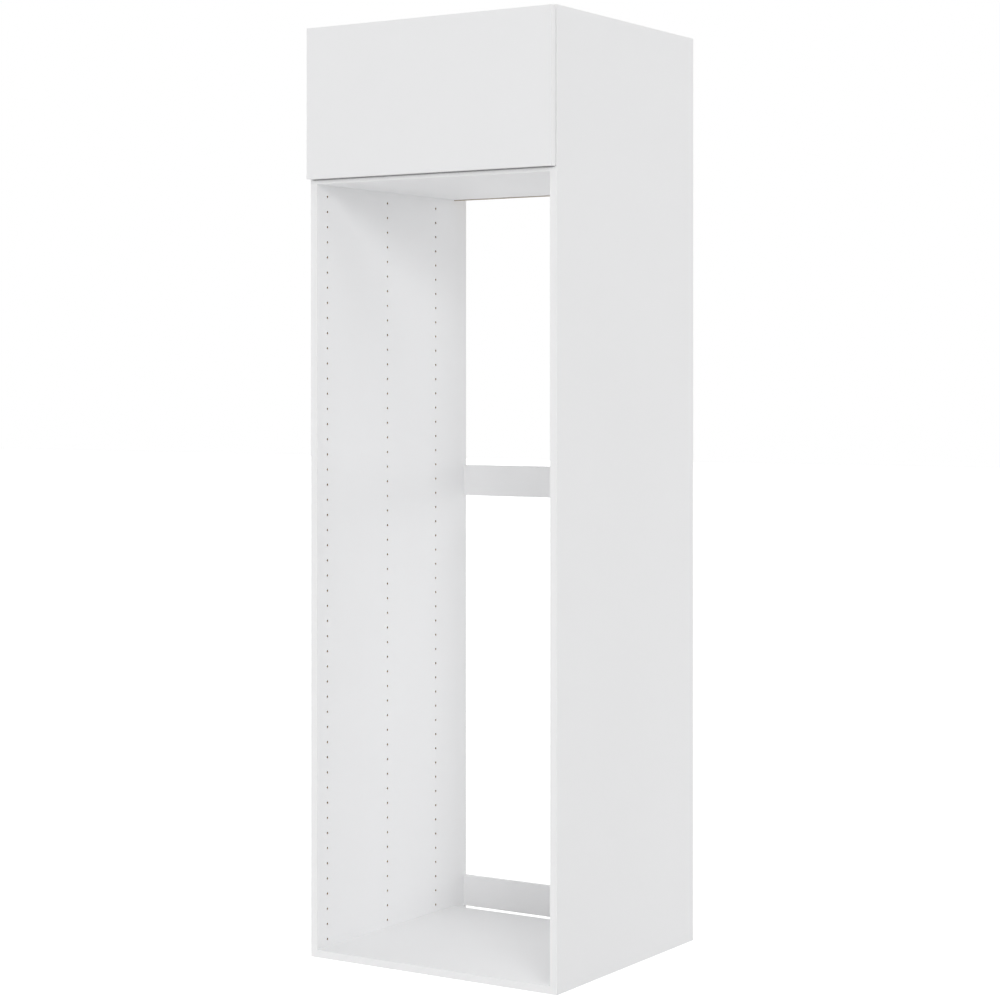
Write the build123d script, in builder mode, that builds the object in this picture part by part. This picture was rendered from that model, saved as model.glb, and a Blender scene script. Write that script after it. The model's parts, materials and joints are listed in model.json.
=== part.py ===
"""Fridge housing unit: a tall white cabinet with an open appliance niche, a closed compartment on top
of it, two rails across its rear, and a plain slab door on concealed cup hinges.

Millimetres. X runs across the front, Y from the front to the rear, Z up. The origin lies under the
middle of the whole unit, door included, at the height of its underside.
"""

from build123d import *
import os

os.makedirs("parts", exist_ok=True)

# Driving dimensions of the carcass
unit_width = 600.0
carcass_depth = 580.0
unit_height = 1952.0
board = 16.0
edge_band = 0.8
deck_setback = 52.0

# System holes: blind holes in three columns, one row every pitch from the underside up
row_pitch = 32.0
system_hole_radius = 2.5
system_hole_depth = 12.0
front_column = 37.0
rear_column_margin = 60.0
compartment_rows = 10
hole_margin = 8.0

# Door
door_board = 16.0
door_gap = 2.0
side_reveal = 2.0
top_reveal = 2.0
shelf_overlay = 6.0

# Rear rails, folded from steel sheet
rail_height = 70.0
rail_depth = 10.0
rail_sheet = 1.2
rail_bend = 1.5
middle_rail_underside = 950.0
bottom_rail_underside = 10.0
tab_relief = 1.0
tab_screw_spacing = 36.0

# Back of the top compartment
back_sheet = 3.0
back_side_play = 1.0
back_lap = 2.0
back_screw_inset = 60.0
back_screw_columns = 3

# Eccentric connectors and dowels at the ends of the three decks
cam_distance = 34.0
cam_radius = 7.3
cam_height = 12.0
cam_pocket_radius = 7.5
cam_pocket_depth = 12.5
cam_sides = 8
cam_mouth_width = 7.4
cam_mouth_height = 7.0
cam_mouth_length = 6.0
cam_slot_width = 1.6
cam_slot_length = 10.0
cam_slot_depth = 2.0
bolt_radius = 2.1
bolt_in_side = 11.0
bolt_neck_length = 27.5
bolt_head_radius = 3.4
bolt_head_length = 3.0
bolt_bore_radius = 3.8
dowel_radius = 3.9
dowel_in_side = 10.0
dowel_in_deck = 20.0
dowel_bore_radius = 4.0
dowel_end_play = 0.5

# Leg sockets, pre-bored in the underside
leg_hole_radius = 5.0
leg_hole_depth = 12.0
leg_inset_x = 52.0
leg_inset_front = 69.0
leg_inset_rear = 99.0

# Small bores and pins are made with few faces
small_sides = 6
head_sides = 6

# Small screws
screw_head_radius = 3.0
screw_head_height = 1.8
screw_shank_radius = 1.5
screw_length = 11.0
screw_pilot_radius = 1.6
screw_pilot_depth = 12.0
screw_clear_radius = 2.0

# Concealed hinge: the cup and its seat in the door
cup_radius = 17.5
cup_depth = 11.5
cup_edge_distance = 4.0
cup_wall = 1.0
cup_fit = 0.1
cavity_half_width = 7.0
rim_relief = 1.2
flange_sheet = 0.8
flange_width = 12.0
cup_screw_offset = 9.5
cup_screw_spacing = 48.0
cup_screw_head_radius = 3.4
cup_screw_head_height = 1.6
cup_screw_radius = 1.6
cup_screw_length = 10.0
cup_pilot_radius = 1.7

# Concealed hinge: pivots at rest, in from the inner face of the side and back from the front plane
arm_pivot_outer = (18.2, 3.1)
cup_pivot_outer = (-4.0, -3.35)
arm_pivot_inner = (19.4, -7.5)
cup_pivot_inner = (-0.45, -5.4)
pin_radius = 0.9
pin_play = 0.05
pin_sides = 8
open_pin_play = 0.3

# Concealed hinge: layers across its width, from its middle plane outwards
outer_link_half = 3.5
link_play = 0.3
inner_link_sheet = 1.2
arm_sheet = 1.2
link_width = 3.4

# Concealed hinge: arm
nose_radius = 2.7
nose_sides = 10
arm_low = 6.5
arm_high = 14.5
arm_front = 11.0
arm_rear = 58.0

# Concealed hinge: mounting plate on the front column of system holes
plate_sheet = 2.0
plate_width = 18.0
plate_span = 50.0
plate_corner = 4.0
rib_front = 17.0
rib_rear = 55.0
rib_play = 0.5
plate_head_radius = 3.5
plate_head_height = 1.6
plate_shank_radius = 2.1
plate_shank_length = 10.0
plate_clear_radius = 2.4
adjust_screw_place = 23.0
fixing_screw_place = 49.0
arm_screw_radius = 1.9
arm_screw_bore = 2.2
arm_screw_depth = 9.0
arm_screw_head_radius = 3.3
arm_screw_head_height = 1.4

# Door buffers
buffer_radius = 4.0
buffer_play = 0.3
buffer_inset = 8.0

# An overrun for cuts that leave through a face
overrun = 1.0

# Places worked out from the sizes above
side_x = unit_width / 2
inner_x = side_x - board
unit_depth = carcass_depth + door_gap + door_board
rear_y = unit_depth / 2
front_y = rear_y - carcass_depth
band_rear_y = front_y + edge_band
deck_rear_y = rear_y - deck_setback
shelf_row = int(unit_height / row_pitch) - compartment_rows
shelf_z = shelf_row * row_pitch - board / 2
top_z = unit_height - board
deck_heights = {"bottom_panel": 0, "fixed_shelf": shelf_z, "top_panel": top_z}
first_column_y = front_y + front_column
column_steps = int((deck_rear_y - rear_column_margin - first_column_y) / row_pitch)
columns = [first_column_y + step * row_pitch for step in (0, (column_steps + 1) // 2, column_steps)]
last_row = int((top_z - hole_margin) / row_pitch)
niche_rows = range(1, shelf_row)
lower_hinge_rows = (shelf_row + 1, shelf_row + 2)
upper_hinge_rows = (last_row - 1, last_row)
hinge_rows = lower_hinge_rows + upper_hinge_rows
hinges = {
    "lower": sum(lower_hinge_rows) * row_pitch / 2,
    "upper": sum(upper_hinge_rows) * row_pitch / 2,
}
cam_columns = (columns[0], columns[-1])
dowel_column = columns[1]


def finish(part, name):
    """Label a finished piece and write it."""
    part.label = name
    export_step(part, f"parts/{name}.step")


def upright_block(width, low, high, plane_x):
    """A strip of the given width along X, between two (y, z) corners, from plane_x on."""
    with BuildPart() as block:
        with BuildSketch(Plane.YZ.offset(plane_x)):
            with Locations(((low[0] + high[0]) / 2, (low[1] + high[1]) / 2)):
                Rectangle(high[0] - low[0], high[1] - low[1])
        extrude(amount=width)
    return block.part


# Side panels, bored on their inner faces; the right one is the left one mirrored
def left_side():
    face = Plane.YZ.offset(-inner_x)
    with BuildPart() as side:
        with BuildSketch(face):
            with Locations(((band_rear_y + rear_y) / 2, unit_height / 2)):
                Rectangle(rear_y - band_rear_y, unit_height)
        extrude(amount=-board)
        # System holes: whole columns in the niche, four holes for the hinges above the shelf, and
        # the bores for the connector bolts of the three decks
        with BuildSketch(face):
            for column in columns:
                with Locations(*[(column, row * row_pitch) for row in niche_rows]):
                    RegularPolygon(system_hole_radius, small_sides)
            with Locations(*[(columns[0], row * row_pitch) for row in hinge_rows]):
                RegularPolygon(system_hole_radius, small_sides)
            for column in cam_columns:
                with Locations(*[(column, height + board / 2) for height in deck_heights.values()]):
                    RegularPolygon(system_hole_radius, small_sides)
        extrude(amount=-system_hole_depth, mode=Mode.SUBTRACT)
        with BuildSketch(face):
            for height in deck_heights.values():
                with Locations((dowel_column, height + board / 2)):
                    RegularPolygon(dowel_bore_radius, small_sides)
        extrude(amount=-(dowel_in_side + dowel_end_play), mode=Mode.SUBTRACT)
        # Pilot bores for the screws of the rear rails
        with BuildSketch(face):
            with Locations(*rail_screw_places):
                RegularPolygon(screw_pilot_radius, small_sides)
        extrude(amount=-screw_pilot_depth, mode=Mode.SUBTRACT)
    return side.part


rail_undersides = (bottom_rail_underside, middle_rail_underside)
rail_screw_y = rear_y - (rail_depth - rail_sheet) / 2
rail_screw_places = [
    (rail_screw_y, underside + rail_height / 2 + end * tab_screw_spacing / 2)
    for underside in rail_undersides
    for end in (-1, 1)
]
left_side_panel = left_side()
finish(left_side_panel, "left_side_panel")
with BuildPart() as right_side_panel:
    mirror(left_side_panel, about=Plane.YZ)
finish(right_side_panel.part, "right_side_panel")


# Decks: the bottom, the fixed shelf and the top, all of one width and depth
def deck(height, cam_face):
    """cam_face is 1 where the connectors open upwards and -1 where they open downwards."""
    middle = height + board / 2
    mouth = middle + cam_face * board / 2
    with BuildPart() as panel:
        with BuildSketch(Plane.XY.offset(height)):
            with Locations((0, (band_rear_y + deck_rear_y) / 2)):
                Rectangle(2 * inner_x, deck_rear_y - band_rear_y)
        extrude(amount=board)
        with BuildSketch(Plane.XY.offset(mouth)):
            for end in (-1, 1):
                with Locations(*[(end * (inner_x - cam_distance), y) for y in cam_columns]):
                    RegularPolygon(cam_pocket_radius, cam_sides)
        extrude(amount=-cam_face * cam_pocket_depth, mode=Mode.SUBTRACT)
        for end in (-1, 1):
            with BuildSketch(Plane.YZ.offset(end * inner_x)):
                with Locations(*[(y, middle) for y in cam_columns]):
                    RegularPolygon(bolt_bore_radius, small_sides)
            extrude(amount=-end * cam_distance, mode=Mode.SUBTRACT)
            with BuildSketch(Plane.YZ.offset(end * inner_x)):
                with Locations((dowel_column, middle)):
                    RegularPolygon(dowel_bore_radius, small_sides)
            extrude(amount=-end * (dowel_in_deck + dowel_end_play), mode=Mode.SUBTRACT)
        if height == 0:
            with BuildSketch(Plane.XY):
                with Locations(*leg_places):
                    Circle(leg_hole_radius)
            extrude(amount=leg_hole_depth, mode=Mode.SUBTRACT)
        else:
            with BuildSketch(Plane.XZ.offset(-deck_rear_y)):
                with Locations(*[(x, middle) for x in back_screw_xs]):
                    RegularPolygon(screw_pilot_radius, small_sides)
            extrude(amount=screw_pilot_depth, mode=Mode.SUBTRACT)
    return panel.part


leg_places = [
    (side * (side_x - leg_inset_x), y)
    for side in (-1, 1)
    for y in (front_y + leg_inset_front, deck_rear_y - leg_inset_rear)
]
back_screw_step = 2 * (inner_x - back_screw_inset) / (back_screw_columns - 1)
back_screw_xs = [
    back_screw_inset - inner_x + column * back_screw_step for column in range(back_screw_columns)
]
cam_faces = {"bottom_panel": -1, "fixed_shelf": 1, "top_panel": 1}
for deck_name, deck_height in deck_heights.items():
    finish(deck(deck_height, cam_faces[deck_name]), deck_name)

# Edge bands on the front edges of the sides and the decks
for band_name, hand in (("left_side_band", -1), ("right_side_band", 1)):
    band = upright_block(hand * board, (front_y, 0), (band_rear_y, unit_height), hand * inner_x)
    finish(band, band_name)
for band_name, height in (("bottom_band", 0), ("shelf_band", shelf_z), ("top_band", top_z)):
    band = upright_block(2 * inner_x, (front_y, height), (band_rear_y, height + board), -inner_x)
    finish(band, band_name)

# Connectors: cam locks in the decks, their bolts in the sides, and dowels beside them
with BuildPart() as cam_locks:
    for deck_name, height in deck_heights.items():
        facing = cam_faces[deck_name]
        middle = height + board / 2
        mouth = middle + facing * board / 2
        for end in (-1, 1):
            cam_x = end * (inner_x - cam_distance)
            for y in cam_columns:
                with BuildSketch(Plane.XY.offset(mouth)):
                    with Locations((cam_x, y)):
                        RegularPolygon(cam_radius, cam_sides)
                extrude(amount=-facing * cam_height)
                with BuildSketch(Plane.XY.offset(mouth)):
                    with Locations((cam_x, y)):
                        Rectangle(cam_slot_length, cam_slot_width)
                extrude(amount=-facing * cam_slot_depth, mode=Mode.SUBTRACT)
                with BuildSketch(Plane.YZ.offset(cam_x + end * (cam_radius + overrun))):
                    with Locations((y, middle)):
                        Rectangle(cam_mouth_width, cam_mouth_height)
                extrude(amount=-end * (cam_mouth_length + overrun), mode=Mode.SUBTRACT)
finish(cam_locks.part, "cam_locks")

with BuildPart() as cam_bolts:
    for height in deck_heights.values():
        for end in (-1, 1):
            neck_end = Plane.YZ.offset(end * (inner_x - bolt_neck_length))
            for y in cam_columns:
                with BuildSketch(Plane.YZ.offset(end * (inner_x + bolt_in_side))):
                    with Locations((y, height + board / 2)):
                        RegularPolygon(bolt_radius, small_sides)
                extrude(amount=-end * (bolt_in_side + bolt_neck_length))
                with BuildSketch(neck_end):
                    with Locations((y, height + board / 2)):
                        RegularPolygon(bolt_head_radius, small_sides)
                extrude(amount=-end * bolt_head_length)
finish(cam_bolts.part, "cam_bolts")

with BuildPart() as dowels:
    for height in deck_heights.values():
        for end in (-1, 1):
            with BuildSketch(Plane.YZ.offset(end * (inner_x + dowel_in_side))):
                with Locations((dowel_column, height + board / 2)):
                    RegularPolygon(dowel_radius, small_sides)
            extrude(amount=-end * (dowel_in_side + dowel_in_deck))
finish(dowels.part, "dowels")


# Rear rails: a C section that opens to the rear, with a tab at each end folded back along the side
def rear_rail(underside):
    face_y = rear_y - rail_depth
    top = underside + rail_height
    with BuildPart() as rail:
        with BuildSketch(Plane.YZ.offset(-inner_x)):
            with BuildLine():
                Polyline((rear_y, underside), (face_y, underside), (face_y, top), (rear_y, top))
                offset(amount=-rail_sheet, side=Side.RIGHT)
            make_face()
        extrude(amount=2 * inner_x)
        bends = rail.edges().filter_by(Axis.X).group_by(Axis.Y)[0]
        chamfer(bends, length=rail_bend / 2)
        for end in (-1, 1):
            with BuildSketch(Plane.YZ.offset(end * inner_x)):
                with Locations((rear_y - rail_depth / 2, underside + rail_height / 2)):
                    Rectangle(rail_depth, rail_height - 2 * (rail_sheet + tab_relief))
            extrude(amount=-end * rail_sheet)
            with BuildSketch(Plane.YZ.offset(end * inner_x)):
                with Locations(*[place for place in rail_screw_places if underside < place[1] < top]):
                    RegularPolygon(screw_clear_radius, small_sides)
            extrude(amount=-end * rail_sheet, mode=Mode.SUBTRACT)
    return rail.part


finish(rear_rail(middle_rail_underside), "middle_rear_rail")
finish(rear_rail(bottom_rail_underside), "bottom_rear_rail")

with BuildPart() as rail_screws:
    for end in (-1, 1):
        seat = end * (inner_x - rail_sheet)
        with BuildSketch(Plane.YZ.offset(seat)):
            with Locations(*rail_screw_places):
                RegularPolygon(screw_head_radius, head_sides)
        extrude(amount=-end * screw_head_height)
        with BuildSketch(Plane.YZ.offset(seat)):
            with Locations(*rail_screw_places):
                RegularPolygon(screw_shank_radius, small_sides)
        extrude(amount=end * screw_length)
finish(rail_screws.part, "rail_screws")

# Back of the top compartment, screwed to the rear edges of the shelf and the top
back_low = shelf_z - back_lap
back_rear_y = deck_rear_y + back_sheet
back_screw_zs = (shelf_z + board / 2, top_z + board / 2)
back_screw_places = [(x, z) for x in back_screw_xs for z in back_screw_zs]
with BuildPart() as top_back_panel:
    with BuildSketch(Plane.XZ.offset(-deck_rear_y)):
        with Locations((0, (back_low + unit_height) / 2)):
            Rectangle(2 * inner_x - back_side_play, unit_height - back_low)
        with Locations(*back_screw_places):
            RegularPolygon(screw_clear_radius, small_sides, mode=Mode.SUBTRACT)
    extrude(amount=-back_sheet)
finish(top_back_panel.part, "top_back_panel")

with BuildPart() as back_screws:
    with BuildSketch(Plane.XZ.offset(-back_rear_y)):
        with Locations(*back_screw_places):
            RegularPolygon(screw_head_radius, head_sides)
    extrude(amount=-screw_head_height)
    with BuildSketch(Plane.XZ.offset(-back_rear_y)):
        with Locations(*back_screw_places):
            RegularPolygon(screw_shank_radius, small_sides)
    extrude(amount=screw_length)
finish(back_screws.part, "back_screws")

# Door: a banded slab with two cup seats on its inner face
door_rear_y = front_y - door_gap
door_x = side_x - side_reveal
door_low = shelf_z + board - shelf_overlay
door_high = unit_height - top_reveal
door_width = 2 * door_x
door_height = door_high - door_low
door_middle = (door_low + door_high) / 2
cup_x = cup_edge_distance + cup_radius - door_x
cup_screw_places = [
    (cup_x + cup_screw_offset, height + end * cup_screw_spacing / 2)
    for height in hinges.values()
    for end in (-1, 1)
]
with BuildPart() as door_panel:
    with BuildSketch(Plane.XZ.offset(-door_rear_y)):
        with Locations((0, door_middle)):
            Rectangle(door_width - 2 * edge_band, door_height - 2 * edge_band)
    extrude(amount=door_board)
    with BuildSketch(Plane.XZ.offset(-door_rear_y)):
        with Locations(*[(cup_x, height) for height in hinges.values()]):
            Circle(cup_radius + cup_fit)
    extrude(amount=cup_depth + cup_fit, mode=Mode.SUBTRACT)
    with BuildSketch(Plane.XZ.offset(-door_rear_y)):
        with Locations(*cup_screw_places):
            RegularPolygon(cup_pilot_radius, small_sides)
    extrude(amount=cup_screw_length, mode=Mode.SUBTRACT)
finish(door_panel.part, "door_panel")

with BuildPart() as door_edge_bands:
    with BuildSketch(Plane.XZ.offset(-door_rear_y)):
        for end in (-1, 1):
            with Locations((end * (door_x - edge_band / 2), door_middle)):
                Rectangle(edge_band, door_height)
    extrude(amount=door_board)
finish(door_edge_bands.part, "door_side_bands")

with BuildPart() as door_cross_bands:
    with BuildSketch(Plane.XZ.offset(-door_rear_y)):
        for z in (door_low + edge_band / 2, door_high - edge_band / 2):
            with Locations((0, z)):
                Rectangle(door_width - 2 * edge_band, edge_band)
    extrude(amount=door_board)
finish(door_cross_bands.part, "door_cross_bands")

# Soft buffers on the free edge of the door
buffer_x = door_x - buffer_inset
buffer_zs = (door_low + buffer_inset, door_high - buffer_inset)
with BuildPart() as door_buffers:
    with BuildSketch(Plane.XZ.offset(-door_rear_y)):
        with Locations(*[(buffer_x, z) for z in buffer_zs]):
            RegularPolygon(buffer_radius, cam_sides)
    extrude(amount=-(door_gap - buffer_play))
finish(door_buffers.part, "door_buffers")


# Concealed hinges: every pivot is an upright axis, shared by the lower and the upper hinge
def hinge_point(place):
    """A place given in from the side's inner face and back from the front plane."""
    return (place[0] - inner_x, place[1] + front_y)


outer_arm_point = hinge_point(arm_pivot_outer)
outer_cup_point = hinge_point(cup_pivot_outer)
inner_arm_point = hinge_point(arm_pivot_inner)
inner_cup_point = hinge_point(cup_pivot_inner)
inner_link_from = outer_link_half + link_play
inner_link_to = inner_link_from + inner_link_sheet
cheek_from = inner_link_to + link_play
cheek_to = cheek_from + arm_sheet


def link_outline(arm_point, cup_point):
    """A round-ended bar, bored for its two pins."""
    with BuildSketch(Plane.XY) as outline:
        with Locations(arm_point, cup_point):
            RegularPolygon(link_width / 2, nose_sides)
        make_hull()
        with Locations(arm_point, cup_point):
            RegularPolygon(pin_radius + pin_play, pin_sides, major_radius=False, mode=Mode.SUBTRACT)
    return outline.sketch


def pin(point, height, half_length):
    with BuildPart() as rod:
        with BuildSketch(Plane.XY.offset(height - half_length)):
            with Locations(point):
                RegularPolygon(pin_radius, pin_sides)
        extrude(amount=2 * half_length)
    return rod.part


# Outer link: one block between the cup and the arm, which carries the door
def outer_link(height):
    with BuildPart() as link:
        with BuildSketch(Plane.XY.offset(height - outer_link_half)):
            add(link_outline(outer_arm_point, outer_cup_point))
        extrude(amount=2 * outer_link_half)
    return link.part


# Inner link: two plates, one each side of the outer link
def inner_link(height):
    with BuildPart() as link:
        for low in (height - inner_link_to, height + inner_link_from):
            with BuildSketch(Plane.XY.offset(low)):
                add(link_outline(inner_arm_point, inner_cup_point))
            extrude(amount=inner_link_sheet)
    return link.part


# Arm: a channel over the plate's rib, whose two cheeks run forward to the pivots
def hinge_arm(height):
    body_front_y = front_y + arm_front
    body_rear_y = front_y + arm_rear
    web_x = arm_high - inner_x
    low_x = arm_low - inner_x
    with BuildPart() as arm:
        for low in (height - cheek_to, height + cheek_from):
            with BuildSketch(Plane.XY.offset(low)):
                with Locations(outer_arm_point, inner_arm_point):
                    RegularPolygon(nose_radius, nose_sides)
                with Locations(((web_x + low_x) / 2, body_front_y)):
                    Rectangle(web_x - low_x, arm_sheet)
                make_hull()
                with Locations(((web_x + low_x) / 2, (body_front_y + body_rear_y) / 2)):
                    Rectangle(web_x - low_x, body_rear_y - body_front_y)
            extrude(amount=arm_sheet)
        with BuildSketch(Plane.YZ.offset(web_x)):
            with Locations(((body_front_y + body_rear_y) / 2, height)):
                Rectangle(body_rear_y - body_front_y, 2 * cheek_to)
            with Locations(*[(front_y + y, height) for y in (adjust_screw_place, fixing_screw_place)]):
                RegularPolygon(arm_screw_bore, small_sides, mode=Mode.SUBTRACT)
        extrude(amount=-arm_sheet)
    return arm.part


# Mounting plate: two wings on the system holes and a rib that the arm sits on
def hinge_plate(height):
    rib_top_x = arm_high - arm_sheet - inner_x
    column_y = columns[0]
    with BuildPart() as plate:
        with BuildSketch(Plane.YZ.offset(-inner_x)):
            with Locations((column_y, height)):
                wing = Rectangle(plate_width, plate_span)
            chamfer(wing.vertices(), length=plate_corner)
            with Locations((column_y, height - row_pitch / 2), (column_y, height + row_pitch / 2)):
                RegularPolygon(plate_clear_radius, small_sides, mode=Mode.SUBTRACT)
        extrude(amount=plate_sheet)
        with BuildSketch(Plane.YZ.offset(-inner_x)):
            with Locations((front_y + (rib_front + rib_rear) / 2, height)):
                Rectangle(rib_rear - rib_front, 2 * (cheek_from - rib_play))
        extrude(amount=rib_top_x + inner_x)
        with BuildSketch(Plane.YZ.offset(rib_top_x)):
            with Locations(*[(front_y + y, height) for y in (adjust_screw_place, fixing_screw_place)]):
                RegularPolygon(arm_screw_bore, small_sides)
        extrude(amount=-arm_screw_depth, mode=Mode.SUBTRACT)
    return plate.part


# Cup: a pot pressed into the door, with a slot-shaped cavity for the links and a screwed flange
def hinge_cup(height):
    face = Plane.XZ.offset(-door_rear_y)
    screw_x = cup_x + cup_screw_offset
    screw_half = cup_screw_spacing / 2
    with BuildPart() as cup:
        with BuildSketch(face):
            with Locations((cup_x, height)):
                Circle(cup_radius)
        extrude(amount=cup_depth)
        with BuildSketch(face):
            with Locations((screw_x, height - screw_half), (screw_x, height + screw_half)):
                RegularPolygon(flange_width / 2, nose_sides)
            make_hull()
            with Locations((cup_x, height)):
                Circle(cup_radius)
            with Locations((screw_x, height - screw_half), (screw_x, height + screw_half)):
                RegularPolygon(screw_clear_radius, small_sides, mode=Mode.SUBTRACT)
        extrude(amount=-flange_sheet)
        with BuildSketch(Plane.XZ.offset(-door_rear_y - flange_sheet)):
            with Locations((cup_x, height)):
                Circle(cup_radius - cup_wall)
                Rectangle(2 * cup_radius, 2 * cavity_half_width, mode=Mode.INTERSECT)
        extrude(amount=cup_depth + flange_sheet - cup_wall, mode=Mode.SUBTRACT)
        # A relief in the rim, where the outer link lies when the door is wide open
        with BuildSketch(Plane.XZ.offset(-door_rear_y - flange_sheet)):
            with Locations((cup_x - cup_radius, height)):
                Rectangle(2 * (cup_wall + overrun), 2 * (outer_link_half + link_play))
        extrude(amount=flange_sheet + rim_relief, mode=Mode.SUBTRACT)
    return cup.part


def hinge_screws(height):
    """The two screws that hold one plate in the system holes."""
    seat_x = plate_sheet - inner_x
    places = [(columns[0], height - row_pitch / 2), (columns[0], height + row_pitch / 2)]
    with BuildPart() as screws:
        with BuildSketch(Plane.YZ.offset(seat_x)):
            with Locations(*places):
                RegularPolygon(plate_head_radius, head_sides)
        extrude(amount=plate_head_height)
        with BuildSketch(Plane.YZ.offset(seat_x)):
            with Locations(*places):
                RegularPolygon(plate_shank_radius, small_sides)
        extrude(amount=-(plate_shank_length + plate_sheet))
    return screws.part


def arm_screws(height):
    """The fixing screw and the side adjusting screw, from the arm's web into the rib."""
    web_x = arm_high - inner_x
    places = [(front_y + y, height) for y in (adjust_screw_place, fixing_screw_place)]
    with BuildPart() as screws:
        with BuildSketch(Plane.YZ.offset(web_x)):
            with Locations(*places):
                RegularPolygon(arm_screw_head_radius, head_sides)
        extrude(amount=arm_screw_head_height)
        with BuildSketch(Plane.YZ.offset(web_x)):
            with Locations(*places):
                RegularPolygon(arm_screw_radius, small_sides)
        extrude(amount=-arm_screw_depth)
    return screws.part


def cup_screws(height):
    """The two screws that hold one cup's flange on the door."""
    places = [place for place in cup_screw_places if abs(place[1] - height) < cup_screw_spacing]
    seat_y = door_rear_y + flange_sheet
    with BuildPart() as screws:
        with BuildSketch(Plane.XZ.offset(-seat_y)):
            with Locations(*places):
                RegularPolygon(cup_screw_head_radius, head_sides)
        extrude(amount=-cup_screw_head_height)
        with BuildSketch(Plane.XZ.offset(-seat_y)):
            with Locations(*places):
                RegularPolygon(cup_screw_radius, small_sides)
        extrude(amount=cup_screw_length)
    return screws.part


for hinge_name, hinge_height in hinges.items():
    finish(hinge_plate(hinge_height), f"{hinge_name}_hinge_plate")
    finish(hinge_arm(hinge_height), f"{hinge_name}_hinge_arm")
    finish(hinge_cup(hinge_height), f"{hinge_name}_hinge_cup")
    finish(outer_link(hinge_height), f"{hinge_name}_outer_link")
    finish(inner_link(hinge_height), f"{hinge_name}_inner_link")
    finish(hinge_screws(hinge_height), f"{hinge_name}_plate_screws")
    finish(arm_screws(hinge_height), f"{hinge_name}_arm_screws")
    finish(cup_screws(hinge_height), f"{hinge_name}_cup_screws")

# Hinge pins, one node for each of the four shared axes
pin_sets = {
    "outer_arm_pins": (outer_arm_point, cheek_from),
    "inner_arm_pins": (inner_arm_point, cheek_from),
    "outer_cup_pins": (outer_cup_point, cavity_half_width),
    "inner_cup_pins": (inner_cup_point, cavity_half_width - open_pin_play),
}
for pin_name, (pin_point, pin_half) in pin_sets.items():
    with BuildPart() as pins:
        for hinge_height in hinges.values():
            add(pin(pin_point, hinge_height, pin_half))
    finish(pins.part, pin_name)
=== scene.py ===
# %% [markdown]
# # A tall fridge housing unit
#
# The real object is flat-pack kitchen furniture: boards of chipboard faced with white melamine, held by
# eccentric connectors, with two folded steel rails across the rear and one slab door on cup hinges.
# The boards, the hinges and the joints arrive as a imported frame, so this lesson is about their finish:
# how white boards, edge bands, bores and small fittings are told apart when nearly all of them are white.

# %% Load the frame
import json
import math

import bpy
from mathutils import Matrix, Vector


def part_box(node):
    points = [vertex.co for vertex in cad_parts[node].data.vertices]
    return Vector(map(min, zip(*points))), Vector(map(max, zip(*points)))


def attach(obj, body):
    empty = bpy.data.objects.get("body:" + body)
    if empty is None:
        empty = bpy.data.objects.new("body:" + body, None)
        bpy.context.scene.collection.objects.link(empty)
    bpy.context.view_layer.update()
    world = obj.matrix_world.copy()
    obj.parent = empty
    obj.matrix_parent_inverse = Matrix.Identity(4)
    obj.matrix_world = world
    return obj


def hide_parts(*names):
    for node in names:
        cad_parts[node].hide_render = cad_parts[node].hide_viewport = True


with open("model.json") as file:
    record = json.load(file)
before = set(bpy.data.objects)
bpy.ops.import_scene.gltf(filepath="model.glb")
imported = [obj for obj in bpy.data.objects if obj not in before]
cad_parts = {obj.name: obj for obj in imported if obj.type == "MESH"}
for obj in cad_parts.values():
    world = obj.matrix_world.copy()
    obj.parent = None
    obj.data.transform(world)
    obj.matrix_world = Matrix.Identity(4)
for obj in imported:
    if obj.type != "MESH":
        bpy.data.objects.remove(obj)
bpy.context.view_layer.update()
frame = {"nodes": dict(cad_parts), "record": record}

# %% [markdown]
# ## Camera
#
# The camera stands where the photographer stood: level, at breast height, a few metres off the front
# right corner. A level camera keeps upright edges parallel, and the lens is shifted so that the whole
# unit still fits in the frame. That is how furniture is photographed for a catalogue.

# %% Camera
CAMERA_PLACE = (2.76430, -4.45691, 1.19854)
CAMERA_TURN = 33.629
LENS = 88.534
SENSOR = 36.0
SHIFT = (0.07556, -0.11312)

camera = bpy.data.objects.new("camera", bpy.data.cameras.new("camera"))
camera.location = CAMERA_PLACE
camera.rotation_euler = (math.radians(90), 0, math.radians(CAMERA_TURN))
camera.data.lens = LENS
camera.data.sensor_width = SENSOR
camera.data.shift_x, camera.data.shift_y = SHIFT
bpy.context.scene.collection.objects.link(camera)
bpy.context.scene.camera = camera
bpy.context.scene.view_settings.view_transform = "Standard"
print("camera", camera.location[:], "lens", camera.data.lens)

# %% [markdown]
# ## A small language for shaders
#
# A surface that looks real is a sum of many faint changes: a little more grey here, a little less gloss
# there. Written node by node that is long, so two helpers come first. `Signal` is a number that
# changes over the surface and can be added and multiplied like any number. `Finish` is one
# material, with one method that adds any node.

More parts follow.
